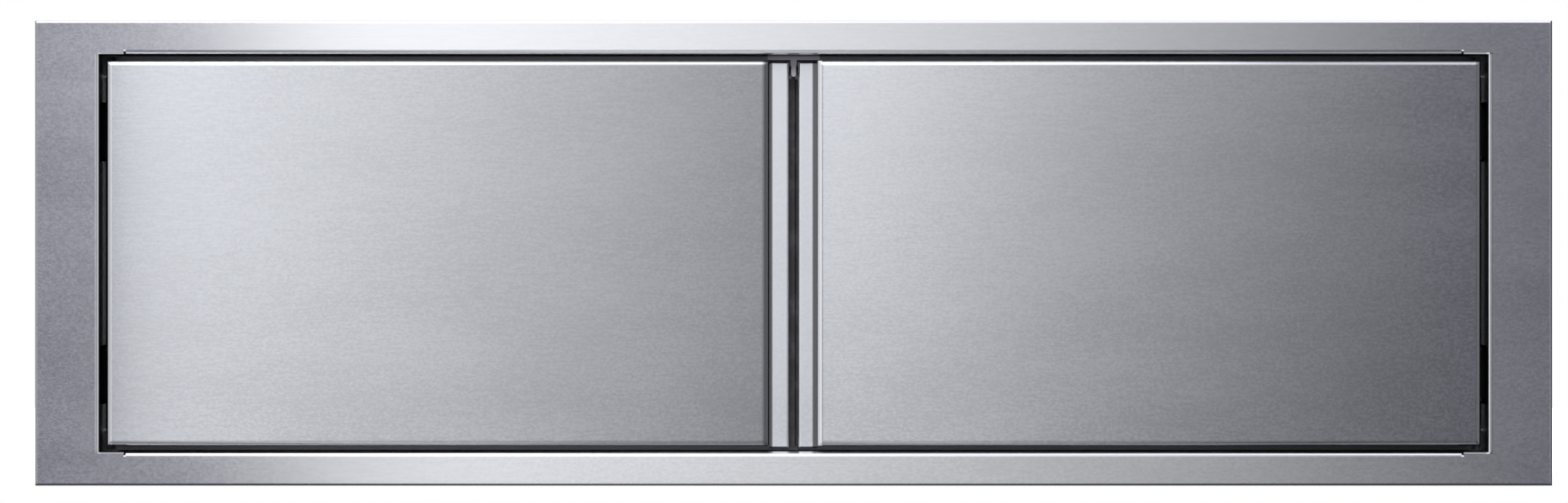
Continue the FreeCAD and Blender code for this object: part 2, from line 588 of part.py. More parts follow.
def centre_strike():
    """Folded bracket welded under the top jamb; its tongue hangs before the meeting gap."""
    low = DOOR_TOP + STRIKE_CLEAR
    rear = STRIKE_FRONT + STRIKE_LENGTH
    bracket = folded([(low, STRIKE_FRONT), (JAMB_Z, STRIKE_FRONT), (JAMB_Z, rear)],
                     STRIKE_T, STRIKE_FOLD, ALONG_X, -STRIKE_W / 2, STRIKE_W / 2)
    face_rear = STRIKE_FRONT + STRIKE_T
    head_low = DOOR_TOP - TONGUE_HEAD_DROP
    tip = DOOR_TOP - TONGUE_DROP + TONGUE_W / 2
    head = block(-TONGUE_HEAD_W / 2, TONGUE_HEAD_W / 2, STRIKE_FRONT, face_rear,
                 head_low, low + STRIKE_T / 2)
    tail = block(-TONGUE_W / 2, TONGUE_W / 2, STRIKE_FRONT, face_rear, tip, head_low)
    round_tip = rod(ALONG_Y, 0, STRIKE_FRONT, tip, TONGUE_W / 2, STRIKE_T)
    return bracket.fuse([head, tail, round_tip]).removeSplitter()


def pair(shape):
    """A right-hand shape and its left-hand twin in one node."""
    return Part.makeCompound([shape, mirrored(shape, ALONG_X)])


def main():
    nodes = {
        "face_frame": face_frame(),
        "top_jamb": top_jamb(),
        "bottom_jamb": mirrored(end_jamb(), ALONG_Z),
        "top_gasket": end_gasket(),
        "bottom_gasket": mirrored(end_gasket(), ALONG_Z),
        "centre_strike": centre_strike(),
        "catch_screws": pair(catch_screws()),
    }
    handed = {
        "jamb": side_jamb(),
        "gasket": side_gasket(),
        "catch_magnet": catch_magnet(),
        "door_skin": door_skin(),
        "pull_channel": pull_channel(),
        "door_liner": door_liner(),
        "door_stiffener": door_stiffener(),
        "hinge_covers": Part.makeCompound(both_hinges(hinge_cover())),
        "hinge_sleeves": Part.makeCompound(both_hinges(hinge_sleeve())),
        "hinge_backing_plates": Part.makeCompound(both_hinges(backing_plate())),
        "hinge_screws": Part.makeCompound(both_hinges(hinge_screws())),
        "keeper_plate": keeper_plate(),
        "meeting_seal": meeting_seal(),
    }
    for name, shape in (("hinge_bracket", hinge_bracket()), ("hinge_pin", hinge_pin()),
                        ("hinge_arm", hinge_arm())):
        upper, lower = both_hinges(shape)
        handed["upper_" + name] = upper
        handed["lower_" + name] = lower
    for name, shape in handed.items():
        nodes["right_" + name] = shape
        nodes["left_" + name] = mirrored(shape, ALONG_X)

    os.makedirs("parts", exist_ok=True)
    for name, shape in nodes.items():
        shape.exportStep("parts/" + name + ".step")
        print(name, len(shape.Solids), "solids", round(shape.Volume), "mm3", shape.isValid())


main()
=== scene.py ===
"""Finishes, rubber seals, fasteners and studio of a brushed-steel double access door.

X runs to the right, Y to the back and Z up, in metres. The opening's centre on the mounting plane
is the origin. The model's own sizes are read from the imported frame.
"""
import collections
import functools
import math

import bmesh
import bpy
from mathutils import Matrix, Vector


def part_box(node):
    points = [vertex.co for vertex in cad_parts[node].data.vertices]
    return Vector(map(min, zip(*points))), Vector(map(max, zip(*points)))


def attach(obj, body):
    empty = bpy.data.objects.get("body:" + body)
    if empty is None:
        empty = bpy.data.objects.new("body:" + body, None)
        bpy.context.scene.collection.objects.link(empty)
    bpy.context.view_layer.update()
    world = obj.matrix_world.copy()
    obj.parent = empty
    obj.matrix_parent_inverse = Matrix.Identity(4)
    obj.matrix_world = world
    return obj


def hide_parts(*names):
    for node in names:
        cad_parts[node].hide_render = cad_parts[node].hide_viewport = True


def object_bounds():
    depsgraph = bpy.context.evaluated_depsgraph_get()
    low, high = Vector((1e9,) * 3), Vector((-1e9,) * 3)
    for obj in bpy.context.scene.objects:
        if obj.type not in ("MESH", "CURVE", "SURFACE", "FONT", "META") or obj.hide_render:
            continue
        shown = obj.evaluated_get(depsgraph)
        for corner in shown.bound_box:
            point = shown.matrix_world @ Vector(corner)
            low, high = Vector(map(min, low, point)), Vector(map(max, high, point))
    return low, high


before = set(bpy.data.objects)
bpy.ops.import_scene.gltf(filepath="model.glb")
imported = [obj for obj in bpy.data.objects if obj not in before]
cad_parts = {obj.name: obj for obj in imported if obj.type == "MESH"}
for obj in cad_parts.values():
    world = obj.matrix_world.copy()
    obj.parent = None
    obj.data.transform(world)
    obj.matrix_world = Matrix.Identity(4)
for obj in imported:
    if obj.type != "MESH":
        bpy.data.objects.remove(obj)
CAD_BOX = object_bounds()

bl_info = {
    "name": "Double access door",
    "version": (1, 0, 0),
    "blender": (4, 5, 0),
    "location": "View3D > Sidebar > Access door",
    "description": "Finishes, seals and studio of a brushed-steel double access door",
    "category": "Object",
}

MM = 0.001
DEGREES = 180 / math.pi
SIDES = ("left", "right")
LEVELS = ("upper", "lower")
WHITE = (1.0, 1.0, 1.0)

# Shares of a bend's width from a door's edge, between which a painted highlight or shade on it comes up
LEFT_PULL_SHADE = (1.75, 0.6)
LEFT_HINGE_LIGHT = (1.25, 1.0)
LEFT_HINGE_SHADE = (1.25, 0.35)
RIGHT_PULL_LIGHT = (0.95, 0.5)
RIGHT_HINGE_SHADE = (1.3, 0.75)
LOWER_SHADE = (0.8, 0.2)
# How much of a painted shade shows on the bends of the hinge edges and below
LEFT_HINGE_DEPTH = 0.6
RIGHT_HINGE_DEPTH = 0.85
LOWER_DEPTH = 0.8
# Shares of the half width over which the right door's painted highlight above dims and painted shade below
# comes up
FAR_RIGHT = (0.54, 0.76)
# Part of the width of a painted shade on an outer bend, and of a weld mark's radius, that shows fully
RIM_CORE = 0.6
WELD_CORE = 0.6
# How much a weld's tint shows, and how dark it is
WELD_TINT = 0.6
WELD_DARK = 0.55

# Brushed grain: lines in the length of a streak, and cycles of the clouds per metre
STREAK_LINES = 6
CLOUDS = (7.0, 22.0, 22.0)
# Lines, streaks and clouds in the grain's tone, and the range of that tone
TONE_SHARES = (0.50, 0.25, 0.25)
TONE_RANGE = (0.36, 0.64)
# Lines and streaks in the grain's height
HEIGHT_SHARES = (0.70, 0.25)
# Changes of roughness with the lines and the clouds
LINE_ROUGHNESS = 0.10
CLOUD_ROUGHNESS = 0.06
# Metal that a polished edge or painted highlight loses, which makes it read white
POLISH_AND_HIGHLIGHT_LOSS = 0.8
# Grain along X, as a part of a full turn
GRAIN_TURN = 0.25

# Cycles per metre of the other finishes' patterns, and the heights and strengths of their relief
SATIN = 2600.0
STEEL_BLOTCH = 180.0
STRIKE_SATIN = 2200.0
COAT_PEEL = 900.0
COAT_RUB = 60.0
MOULD_GRAIN = 1800.0
MOULD_BLOTCH = 45.0
RUBBER_PORES = 2200.0
RUBBER_BLOOM = 70.0
FLOOR_MOTTLE = 3.0
SATIN_HEIGHT = 0.02 * MM
PEEL_HEIGHT = 0.05 * MM
MOULD_HEIGHT = 0.04 * MM
PORE_HEIGHT = 0.03 * MM
SATIN_STRENGTH = 0.6
SOFT_STRENGTH = 0.5
# Roughness that the strike's tongue loses towards its tip
TIP_SMOOTHING = 0.1
# Ranges of noise over which blotches, rub and bloom come up
BLOTCH_RANGE = (0.3, 0.7)
RUB_RANGE = (0.45, 0.75)
BLOOM_RANGE = (0.4, 0.8)

# Screw: shares of the head's radius and height and of the shank's radius, and steps of the rounded head
SOCKET_WIDTH = 0.45
SOCKET_TAPER = 0.97
SOCKET_FLOOR = 0.3
HEAD_RIM = 0.25
HEAD_CROWN = 0.60
HEAD_STEPS = 5
TIP_WIDTH = 0.7
TIP_CHAMFER = 0.3
# Gasket: bulb's half width as a share of the gasket's width, its sink and the chamfer as shares of the foot
BULB_WIDTH = 0.42
BULB_SINK = 0.15
FOOT_CHAMFER = 0.45
# Meeting seal: its base in thicknesses of a fin
SEAL_BASE = 1.4
# Edges that turn by more than this stay sharp
SHARP_ANGLE = math.radians(35)

# Bearing in degrees from straight ahead of the door, and the studio's brightness there
BANK_TONES = (
    (-90, 0.9), (-45, 0.9), (-30, 0.6), (-20, 0.25), (-14, 0.10), (-10.9, 0.105), (-9.9, 0.165),
    (-8.7, 0.485), (-7.6, 0.72), (-5.4, 0.63), (-2.0, 0.54), (2.3, 0.41), (6.6, 0.25), (9.0, 0.175),
    (10.9, 0.066), (14, 0.057), (20, 0.20), (30, 0.45), (45, 0.7), (60, 0.8), (90, 0.8))
# Two rises in degrees, and the share of the bank's brightness at each
FRONT_RISE = (-13.0, 13.0, 0.16, 1.55)
LOW_RISE = (-13.5, -27.0, 0.0, 0.5)
# Degrees between which the studio turns into its ceiling and its sides
OVERHEAD_RISE = (26.0, 48.0)
ASIDE_BEARING = (16.0, 34.0)
# Backward parts of a heading, between which the studio turns into its rear
BEHIND_BACK = (0.25, 0.50)
# Bearings between which the left and the right end of the bank turn cool
LEFT_END = (-9.4, -10.4)
RIGHT_END = (10.2, 11.0)
COOL_SHADE = (0.965, 0.945, 1.14)
# Brightness of the ceiling and the rear, share of the bank at the sides and strength of it all
OVERHEAD_TONE = 0.7
BEHIND_TONE = 0.45
SIDE_SHARE = 0.42
STUDIO_STRENGTH = 2.13
# Place of the soft key lamp, in metres
KEY_PLACE = (-1.2, -1.6, 2.4)


def colour(name, description, default):
    """Colour property in scene-linear values."""
    return bpy.props.FloatVectorProperty(
        name=name, description=description, default=default, size=3, min=0.0, max=1.0, subtype="COLOR")


def length(name, description, default):
    """Length property in metres."""
    return bpy.props.FloatProperty(
        name=name, description=description, default=default, min=0.0, unit="LENGTH", precision=5)


def angle(name, description, degrees):
    """Angle property, given in degrees."""
    return bpy.props.FloatProperty(
        name=name, description=description, default=math.radians(degrees), unit="ROTATION")


def share(name, description, default):
    """Factor between nothing and all."""
    return bpy.props.FloatProperty(
        name=name, description=description, default=default, min=0.0, max=1.0, subtype="FACTOR")


def power(name, description, default):
    """Exponent of a curve."""
    return bpy.props.FloatProperty(name=name, description=description, default=default, min=0.1, max=8.0)


class SteelSettings(bpy.types.PropertyGroup):
    """Brushed sheet of the frame and the doors."""
    flange: colour("Flange", "Brushed flange of the frame", (0.712, 0.722, 0.757))
    door: colour("Door", "Brushed front panels", (0.541, 0.554, 0.590))
    strip: colour("Pull strip", "Bright strips beside the meeting gap", (0.675, 0.69, 0.745))
    # Painted shade on pull strips, door bends and beside the right lip
    shaded: colour("Shaded sheet", "Shaded parts of strips, door bends and right lip", (0.14, 0.14, 0.15))
    # Painted shade in the upper, lower and side jambs and on the flange's lips behind its bare edges
    lining_painted_shade: colour("Lining", "Shaded upper and lower jambs and lips of the flange", (0.125, 0.122, 0.13))
    side_lining_painted_shade: colour("Side lining", "Shaded jambs beside the doors", (0.26, 0.255, 0.27))
    # Own colour of the liners and stiffeners and of the jambs' outside
    inside: colour("Inside", "Liners, stiffeners and the outside of the jambs", (0.50, 0.505, 0.52))
    # Painted shade on the flange's outer bends and on the left door's hinge bend
    rim_shade: colour("Rim", "Flange's right and lower bends, left door's hinge bend", (0.075, 0.075, 0.082))
    left_rim_shade: colour("Left rim", "Outer bend of the flange at the left", (0.27, 0.27, 0.285))
    rim_width: length("Rim width", "Width of the flange's outer bends", 1.8 * MM)
    # Bare edges, partly own bright edge and partly painted highlight; on the doors' bends, painted
    # highlight only
    edge: colour("Bare edge", "Polished edges of the opening, doors and right strip", (0.94, 0.95, 0.98))
    edge_roughness: share("Edge roughness", "Roughness of the polished edges", 0.75)
    edge_width: length("Edge width", "Width of the polished edges at the corners", 1.0 * MM)
    left_edge_highlight: colour("Left edge", "Polished edge at the left of the opening", (0.62, 0.625, 0.65))
    dim_edge_highlight: colour("Dull edge", "Less polished edges at corners and far right", (0.47, 0.475, 0.49))
    lip_bend: length("Lip bend", "Bright width of the bend into the opening", 1.2 * MM)
    # Painted shade on the bend beside the right lip
    lip_gap: length("Lip gap", "Right lip's bright bend to its shade", 0.2 * MM)
    lip_shade: length("Lip shade", "Width of the shade beside the right lip", 2.2 * MM)
    lip_fade: length("Lip fade", "Width over which that shade comes and goes", 0.6 * MM)
    lip_dark: share("Lip dark", "How much of that shade shows", 0.75)
    # Depth of the bare edges and their painted highlight at the sides
    bare_depth: length("Bare depth", "Depth of the polished edges at the sides", 1.0 * MM)
    # Painted shade on the pull strips under the panels' edges, and a painted highlight on the right strip's
    # fold
    shade_start: length("Shade start", "Shaded part of a pull strip from the panel's edge", 3.4 * MM)
    shade_end: length("Shade end", "Darkest part of a pull strip from the panel's edge", 2.1 * MM)
    shade_shift: length("Shade shift", "How far to the left both strips' shades lie", 0.8 * MM)
    fold_highlight_width: length("Fold width", "Bright fold of the right pull strip at the gap", 2.6 * MM)
    reveal: length("Reveal", "Gap between a door and the opening", 4.5 * MM)
    corner: length("Corner", "Bare edge at each corner of the opening", 18.5 * MM)
    roughness: share("Roughness", "Mean roughness of the brushed sheet", 0.22)
    anisotropy: share("Anisotropy", "How far the grain draws reflections out across itself", 0.97)
    flange_grain: share("Flange grain", "Contrast of the brushed lines on the flange", 0.026)
    door_grain: share("Door grain", "Contrast of the brushed lines on the doors", 0.055)
    grain_pitch: length("Grain pitch", "Height of a brushed line", 1.4 * MM)
    grain_length: length("Grain length", "Length of a brushed line", 2.2 * MM)
    grain_depth: length("Grain depth", "Depth of a brushed line", 0.008 * MM)
    left_lean: angle("Left lean", "Turn of the left panel at its hinge edge", 0.8)
    right_lean: angle("Right lean", "Turn of the right panel at its hinge edge", 0.0)
    left_bow: power("Left bow", "How late the left panel's turn grows towards its pull edge", 0.48)
    right_bow: power("Right bow", "How late the right panel's turn grows towards its pull edge", 3.5)
    left_droop: angle("Left droop", "Downward turn of the left panel at its lower edge", 0.0)
    right_droop: angle("Right droop", "Downward turn of the right panel at its lower edge", 1.0)
    dish: angle("Dish", "Turn of a door panel at its pull edge", 3.4)
    twist: angle("Twist", "Turn of the flange's lower rail against the upper one", 0.36)
    weld_radius: length("Weld radius", "Radius of a weld mark on a liner", 2.6 * MM)
    weld_pitch: length("Weld pitch", "Distance between two weld marks", 58 * MM)
    weld_inset: length("Weld inset", "Weld marks from the upper and lower edge of a liner", 11 * MM)
    weld_depth: length("Weld depth", "Depth of a weld mark", 0.15 * MM)
    face_skin: length("Face skin", "Depth within which a jamb's outside is told from its inside", 0.4 * MM)
    panel_bend: length("Panel bend", "Width of a front panel's bends", 3.6 * MM)


class HardwareSettings(bpy.types.PropertyGroup):
    """Hinges, catches, strike and fasteners."""
    coat: colour("Black coat", "Coated hinge arms and brackets", (0.006, 0.006, 0.007))
    plastic: colour("Plastic", "Moulded covers and magnet cases", (0.018, 0.018, 0.020))
    nylon: colour("Nylon", "Hinge sleeves", (0.68, 0.66, 0.60))
    bright: colour("Bright steel", "Pins, screws, backing plates and keepers", (0.56, 0.565, 0.58))
    strike: colour("Strike", "Centre strike bracket", (0.27, 0.26, 0.285))
    coat_roughness: share("Coat roughness", "Mean roughness of the black coat", 0.42)
    plastic_roughness: share("Plastic roughness", "Mean roughness of the moulded plastic", 0.5)
    nylon_roughness: share("Nylon roughness", "Mean roughness of the hinge sleeves", 0.4)
    bright_roughness: share("Bright roughness", "Mean roughness of pins, plates and keepers", 0.32)
    screw_roughness: share("Screw roughness", "Mean roughness of the screws", 0.28)
    # The tongue's tip is painted lighter and is smoother than this
    strike_roughness: share("Strike roughness", "Roughness of the strike away from the tongue's tip", 0.5)
    screw_head: length("Screw head", "Radius of a hinge screw's head", 3.8 * MM)
    screw_shank: length("Screw shank", "Radius of a hinge screw's shank", 2.0 * MM)
    catch_head: length("Catch screw head", "Radius of a catch screw's head", 2.8 * MM)
    catch_shank: length("Catch screw shank", "Radius of a catch screw's shank", 1.5 * MM)
    stop_sheet: length("Stop sheet", "Sheet of the stop that the catches are screwed to", 1.2 * MM)


class SealSettings(bpy.types.PropertyGroup):
    """Rubber gaskets and meeting seals."""
    rubber: colour("Rubber", "Gaskets and meeting seals", (0.055, 0.055, 0.057))
    roughness: share("Roughness", "Mean roughness of the rubber", 0.72)
    wall: length("Wall", "Wall of the gasket's hollow bulb", 0.9 * MM)
    foot: length("Foot", "Thickness of the gasket's foot", 1.1 * MM)
    arm_clear: length("Arm room", "Side gasket's end to a hinge arm", 2.0 * MM)
    fin: length("Fin", "Thickness of the meeting seal's fins", 0.7 * MM)
    fin_lap: length("Fin lap", "Reach of a fin past the middle of the meeting gap", 1.0 * MM)


class StudioSettings(bpy.types.PropertyGroup):
    """Camera, light and floor."""
    distance: length("Distance", "Camera to the front plane", 2.5)
    view_width: length("View width", "Width that the image spans at the front plane", 1.1021)
    aim_x: length("Aim across", "Camera left of the door's middle", 6.8 * MM)
    aim_z: length("Aim up", "Camera above the door's middle", 1.2 * MM)
    floor: colour("Floor", "Pale studio floor", (0.86, 0.86, 0.86))
    floor_lift: share("Floor lift", "Own light of the floor that makes it read white", 0.30)
    floor_side: length("Floor beside", "Floor beyond each side of the door", 1.0)
    floor_far: length("Floor behind", "Floor behind the door", 1.2)
    key_power: bpy.props.FloatProperty(
        name="Key", description="Power of the soft key lamp", default=24.0, unit="POWER")
    key_size: length("Key size", "Side of the soft key lamp", 1.6)


class Shade:
    """A node socket that adds Math nodes when it is used in an expression."""

    def __init__(self, socket):
        self.socket = socket

    def math(self, operation, first, second=0.0):
        """Math node of one or two values in this socket's tree."""
        node = self.socket.id_data.nodes.new("ShaderNodeMath")
        node.operation = operation
        connect(first, node.inputs[0])
        connect(second, node.inputs[1])
        return Shade(node.outputs[0])

    def __add__(self, other):
        return self.math("ADD", self, other)

    def __sub__(self, other):
        return self.math("SUBTRACT", self, other)

    def __rsub__(self, other):
        return self.math("SUBTRACT", other, self)

    def __mul__(self, other):
        return self.math("MULTIPLY", self, other)

    def __truediv__(self, other):
        return self.math("DIVIDE", self, other)

    def __pow__(self, other):
        return self.math("POWER", self, other)

    __radd__ = __add__
    __rmul__ = __mul__


def connect(value, entry):
    """Link a socket, or write a plain value, into a node's input."""
    if isinstance(value, Shade):
        entry.id_data.links.new(value.socket, entry)
    elif isinstance(value, (tuple, list)) and len(value) < len(entry.default_value):
        entry.default_value = (*value, 1.0)
    else:
        entry.default_value = value


class Board:
    """An empty node tree and one method that adds any node to it."""

    def __init__(self, tree):
        self.tree = tree
        tree.nodes.clear()

    def add(self, kind, settings=None, sockets=None, out=0):
        """Node of a type: its settings first, then its sockets. Returns one of its outputs."""
        node = self.tree.nodes.new("ShaderNode" + kind)
        for name, value in (settings or {}).items():
            if name == "stops":
                write_stops(node.color_ramp, value)
            else:
                setattr(node, name, value)
        for name, value in (sockets or {}).items():
            connect(value, node.inputs[name])
        return Shade(node.outputs[out]) if len(node.outputs) else None


def write_stops(ramp, stops):
    """Grey stops of a colour ramp as (position, value)."""
    while len(ramp.elements) < len(stops):
        ramp.elements.new(1.0)
    for element, (position, value) in zip(ramp.elements, stops):
        element.position = position
        element.color = (value, value, value, 1.0)


def new_finish(name):
    """New material, its board and the place on the object."""
    material = bpy.data.materials.new(name)
    material.use_nodes = True
    board = Board(material.node_tree)
    return material, board, board.add("TexCoord", {}, {}, "Object")


def noise(board, place, cycles, detail=2.0, roughness=0.5):
    """Noise of so many cycles per metre, one number for all axes or one for each."""
    stretch = cycles if isinstance(cycles, tuple) else (cycles, cycles, cycles)
    scaled = board.add("VectorMath", {"operation": "MULTIPLY"}, {0: place, 1: stretch})
    return board.add("TexNoise", {}, {"Vector": scaled, "Scale": 1.0, "Detail": detail,
                                      "Roughness": roughness}, "Fac")


def between(board, value, low, high, to_low=0.0, to_high=1.0):
    """Value mapped from one range to another with smooth ends."""
    return board.add("MapRange", {"interpolation_type": "SMOOTHSTEP"},
                     {"Value": value, "From Min": low, "From Max": high,
                      "To Min": to_low, "To Max": to_high})


def tinted(board, factor, dark, light):
    """Colour between two colours."""
    return board.add("Mix", {"data_type": "RGBA"}, {0: factor, 6: (*dark, 1.0), 7: (*light, 1.0)}, 2)


def scaled_colour(base, factor):
    """Colour made darker or lighter by a factor."""
    return tuple(min(1.0, channel * factor) for channel in base)


def mottled(board, factor, base, dark=1.0, light=1.0):
    """Colour between a darker and a lighter share of a base colour."""
    return tinted(board, factor, scaled_colour(base, dark), scaled_colour(base, light))


def varied(mean, pattern, swing):
    """Mean value that swings with a noise pattern."""
    return mean + (pattern - 0.5) * swing


def bumped(board, height, depth, strength):
    """Normal of a surface with a pattern of so many metres of height."""
    return board.add("Bump", {}, {"Strength": strength, "Distance": depth, "Height": height})


def finish_with(board, sockets):
    """Principled shader and the material's output."""
    shader = board.add("BsdfPrincipled", {}, sockets)
    board.add("OutputMaterial", {}, {"Surface": shader})


def coordinates(board, place):
    """X, Y and Z of a point as three shades."""
    split = board.add("SeparateXYZ", {}, {0: place}).socket.node.outputs
    return tuple(Shade(output) for output in split)


def over(board, mask, hue, paint):
    """Colour with a paint laid over it where the mask is one."""
    return board.add("Mix", {"data_type": "RGBA"}, {0: mask, 6: hue, 7: (*paint, 1.0)}, 2)


def flange_painted_light(board, place, hue, steel):
    """Flange's colour: bare edges partly painted highlight, painted shade on lips behind and beside them
    and outer bends.

    Like every function of marks, it returns the colour and the mask of what is polished or painted as a
    highlight.
    """
    x, y, z = coordinates(board, place)
    across = x.math("ABSOLUTE", x)
    up = z.math("ABSOLUTE", z)
    low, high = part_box("face_frame")
    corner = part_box("right_door_skin")[1]
    half_w = corner.x + steel.reveal
    bend_x = half_w + steel.lip_bend
    within = z.math("LESS_THAN", up, corner.z + steel.reveal + steel.edge_width)
    inside = x.math("GREATER_THAN", across, half_w - steel.corner) * x.math("LESS_THAN", across, bend_x)
    inside = inside * within
    bare = y.math("LESS_THAN", y, low.y + steel.bare_depth)
    # Painted highlight on the polished bare edges of the opening, dimmer along the corners and at the left
    hue = over(board, inside * bare, hue, steel.edge)
    level = x.math("LESS_THAN", across, half_w - steel.edge_width)
    hue = over(board, inside * bare * level, hue, steel.dim_edge_highlight)
    left = x.math("LESS_THAN", x, -half_w + steel.edge_width)
    hue = over(board, inside * bare * left, hue, steel.left_edge_highlight)
    # Painted shade on the lips behind the bare edges
    hue = over(board, inside * (1.0 - bare), hue, steel.lining_painted_shade)
    # Painted shade on the bend beside the right lip
    shade_x = bend_x + steel.lip_gap
    far_x = shade_x + steel.lip_shade
    ring = between(board, x, shade_x, shade_x + steel.lip_fade) * within
    ring = ring * between(board, x, far_x, far_x - steel.lip_fade)
    hue = over(board, ring * steel.lip_dark, hue, steel.shaded)
    # Painted shade on the outer bends at the left, the right and below
    rim_shade = steel.rim_width
    core = rim_shade * RIM_CORE
    hue = over(board, between(board, x, low.x + rim_shade, low.x + core), hue, steel.left_rim_shade)
    hue = over(board, between(board, x, high.x - rim_shade, high.x - core), hue, steel.rim_shade)
    hue = over(board, between(board, z, low.z + rim_shade, low.z + core), hue, steel.rim_shade)
    return hue, inside * bare


def strip_painted_light(board, place, hue, steel):
    """Pull strip's colour: painted shade under the front panel's edge, a painted highlight on the right
    strip's fold.
    """
    x = coordinates(board, place)[0]
    pull_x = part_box("right_door_skin")[0].x
    under = x.math("ABSOLUTE", x + steel.shade_shift)
    under = between(board, under, pull_x - steel.shade_start, pull_x - steel.shade_end)
    fold_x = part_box("right_pull_channel")[0].x
    fold = between(board, x, fold_x + steel.fold_highlight_width, fold_x + steel.fold_highlight_width / 2)
    hue = over(board, fold * x.math("GREATER_THAN", x, 0.0), hue, steel.edge)
    return over(board, under, hue, steel.shaded), 0.0


def bend_mask(board, place, edge_x, bend, shares):
    """Mask over a front bend along a door's edge, rising between two shares of its width from that edge.

    bend is the bend's width, negative where it lies to the left of the edge.
    """
    x, y, _ = coordinates(board, place)
    start, end = shares
    front_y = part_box("right_door_skin")[0].y
    front = between(board, y, front_y + abs(bend) * 2, front_y + abs(bend))
    return front * between(board, x, edge_x + bend * start, edge_x + bend * end)


def top_mask(board, place, front_y, edge_z, bend):
    """Mask over the front bend along a door's upper edge."""
    _, y, z = coordinates(board, place)
    front = between(board, y, front_y + bend, front_y + bend / 2)
    return front * between(board, z, edge_z - bend, edge_z - bend / 2)


def left_door_painted_light(board, place, hue, steel):
    """Left door's colour: painted highlight on its upper bend, painted shade on its pull bend, both on its
    hinge bend.
    """
    low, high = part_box("left_door_skin")
    bend = steel.panel_bend
    hue = over(board, top_mask(board, place, low.y, high.z, bend), hue, steel.edge)
    hue = over(board, bend_mask(board, place, high.x, -bend, LEFT_PULL_SHADE), hue, steel.shaded)
    hue = over(board, bend_mask(board, place, low.x, bend, LEFT_HINGE_LIGHT), hue, steel.edge)
    hinge = bend_mask(board, place, low.x, bend, LEFT_HINGE_SHADE) * LEFT_HINGE_DEPTH
    return over(board, hinge, hue, steel.rim_shade), 0.0


def right_door_painted_light(board, place, hue, steel):
    """Right door's colour: painted highlights on its upper bend and pull bend, painted shade on its hinge
    bend.

    Far to the right the painted highlight on its upper bend is dimmer and its lower bend has painted shade.
    """
    x, _, z = coordinates(board, place)
    low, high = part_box("right_door_skin")
    bend = steel.panel_bend
    top = top_mask(board, place, low.y, high.z, bend)
    far = between(board, x, high.x * FAR_RIGHT[0], high.x * FAR_RIGHT[1])
    bottom = between(board, z, low.z + bend * LOWER_SHADE[0], low.z + bend * LOWER_SHADE[1])
    hue = over(board, top, hue, steel.edge)
    hue = over(board, top * far, hue, steel.dim_edge_highlight)
    hue = over(board, bottom * far * LOWER_DEPTH, hue, steel.shaded)
    pull = bend_mask(board, place, low.x, bend, RIGHT_PULL_LIGHT)
    hue = over(board, pull, hue, steel.edge)
    hinge = bend_mask(board, place, high.x, -bend, RIGHT_HINGE_SHADE) * RIGHT_HINGE_DEPTH
    return over(board, hinge, hue, steel.shaded), pull


DOOR_PAINTED_LIGHT = {"left": left_door_painted_light, "right": right_door_painted_light}


def jamb_painted_shade(board, place, hue, steel):
    """Jamb's colour: painted shade towards the opening, the sheet's own bright colour on its outside and
    its rear.
    """
    x, y, z = coordinates(board, place)
    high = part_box("top_jamb")[1]
    side_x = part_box("right_jamb")[1].x
    outside = y.math("GREATER_THAN", y, high.y - steel.face_skin)
    for distance, reach in ((x, side_x), (z, high.z)):
        beyond = x.math("GREATER_THAN", x.math("ABSOLUTE", distance), reach - steel.face_skin)
        outside = x.math("MAXIMUM", outside, beyond)
    return over(board, outside, hue, steel.inside), 0.0


def weld_spots(board, place, steel):
    """Mask of the round weld marks along the upper and lower edges of a liner."""
    x, _, z = coordinates(board, place)
    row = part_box("right_door_liner")[1].z - steel.weld_inset
    along_x = x / steel.weld_pitch
    along_x = (x.math("FRACT", along_x) - 0.5) * steel.weld_pitch
    along_z = z.math("ABSOLUTE", z) - row
    reach = (along_x * along_x + along_z * along_z) ** 0.5
    return between(board, reach, steel.weld_radius, steel.weld_radius * WELD_CORE)


def liner_marks(board, place, hue, steel):
    """Liner's colour, tinted where it is spot welded."""
    spots = weld_spots(board, place, steel) * WELD_TINT
    return over(board, spots, hue, scaled_colour(steel.inside, WELD_DARK)), 0.0


def weld_dents(board, place, steel):
    """Height of a liner that is pressed in at its weld marks."""
    return weld_spots(board, place, steel) * -steel.weld_depth


# Edges of a panel in X and Z, the turns at them and the power by which the turn grows
Dish = collections.namedtuple("Dish", "hinge_x pull_x lean fall growth low_z high_z droop")


def dished(board, place, dish):
    """Height of a panel that turns by lean at its hinge edge, by fall at its pull edge and droops below."""
    x, _, z = coordinates(board, place)
    width = abs(dish.pull_x - dish.hinge_x)
    across = (x - dish.hinge_x) / (dish.pull_x - dish.hinge_x)
    across = across.math("MAXIMUM", across, 0.0)
    bend = (math.tan(dish.fall) - math.tan(dish.lean)) / (dish.growth + 1.0)
    bow = (across * math.tan(dish.lean) + across ** (dish.growth + 1.0) * bend) * -width
    under = dish.high_z - z
    sag = under * under * (math.tan(dish.droop) / (dish.high_z - dish.low_z) / 2)
    return bow - sag


def twisted(board, place, turn):
    """Height of the flange, whose lower rail turns a little to the left of the upper one."""
    x, _, z = coordinates(board, place)
    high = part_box("face_frame")[1]
    return x * (high.z - z) * (math.tan(turn) / high.z / 2)


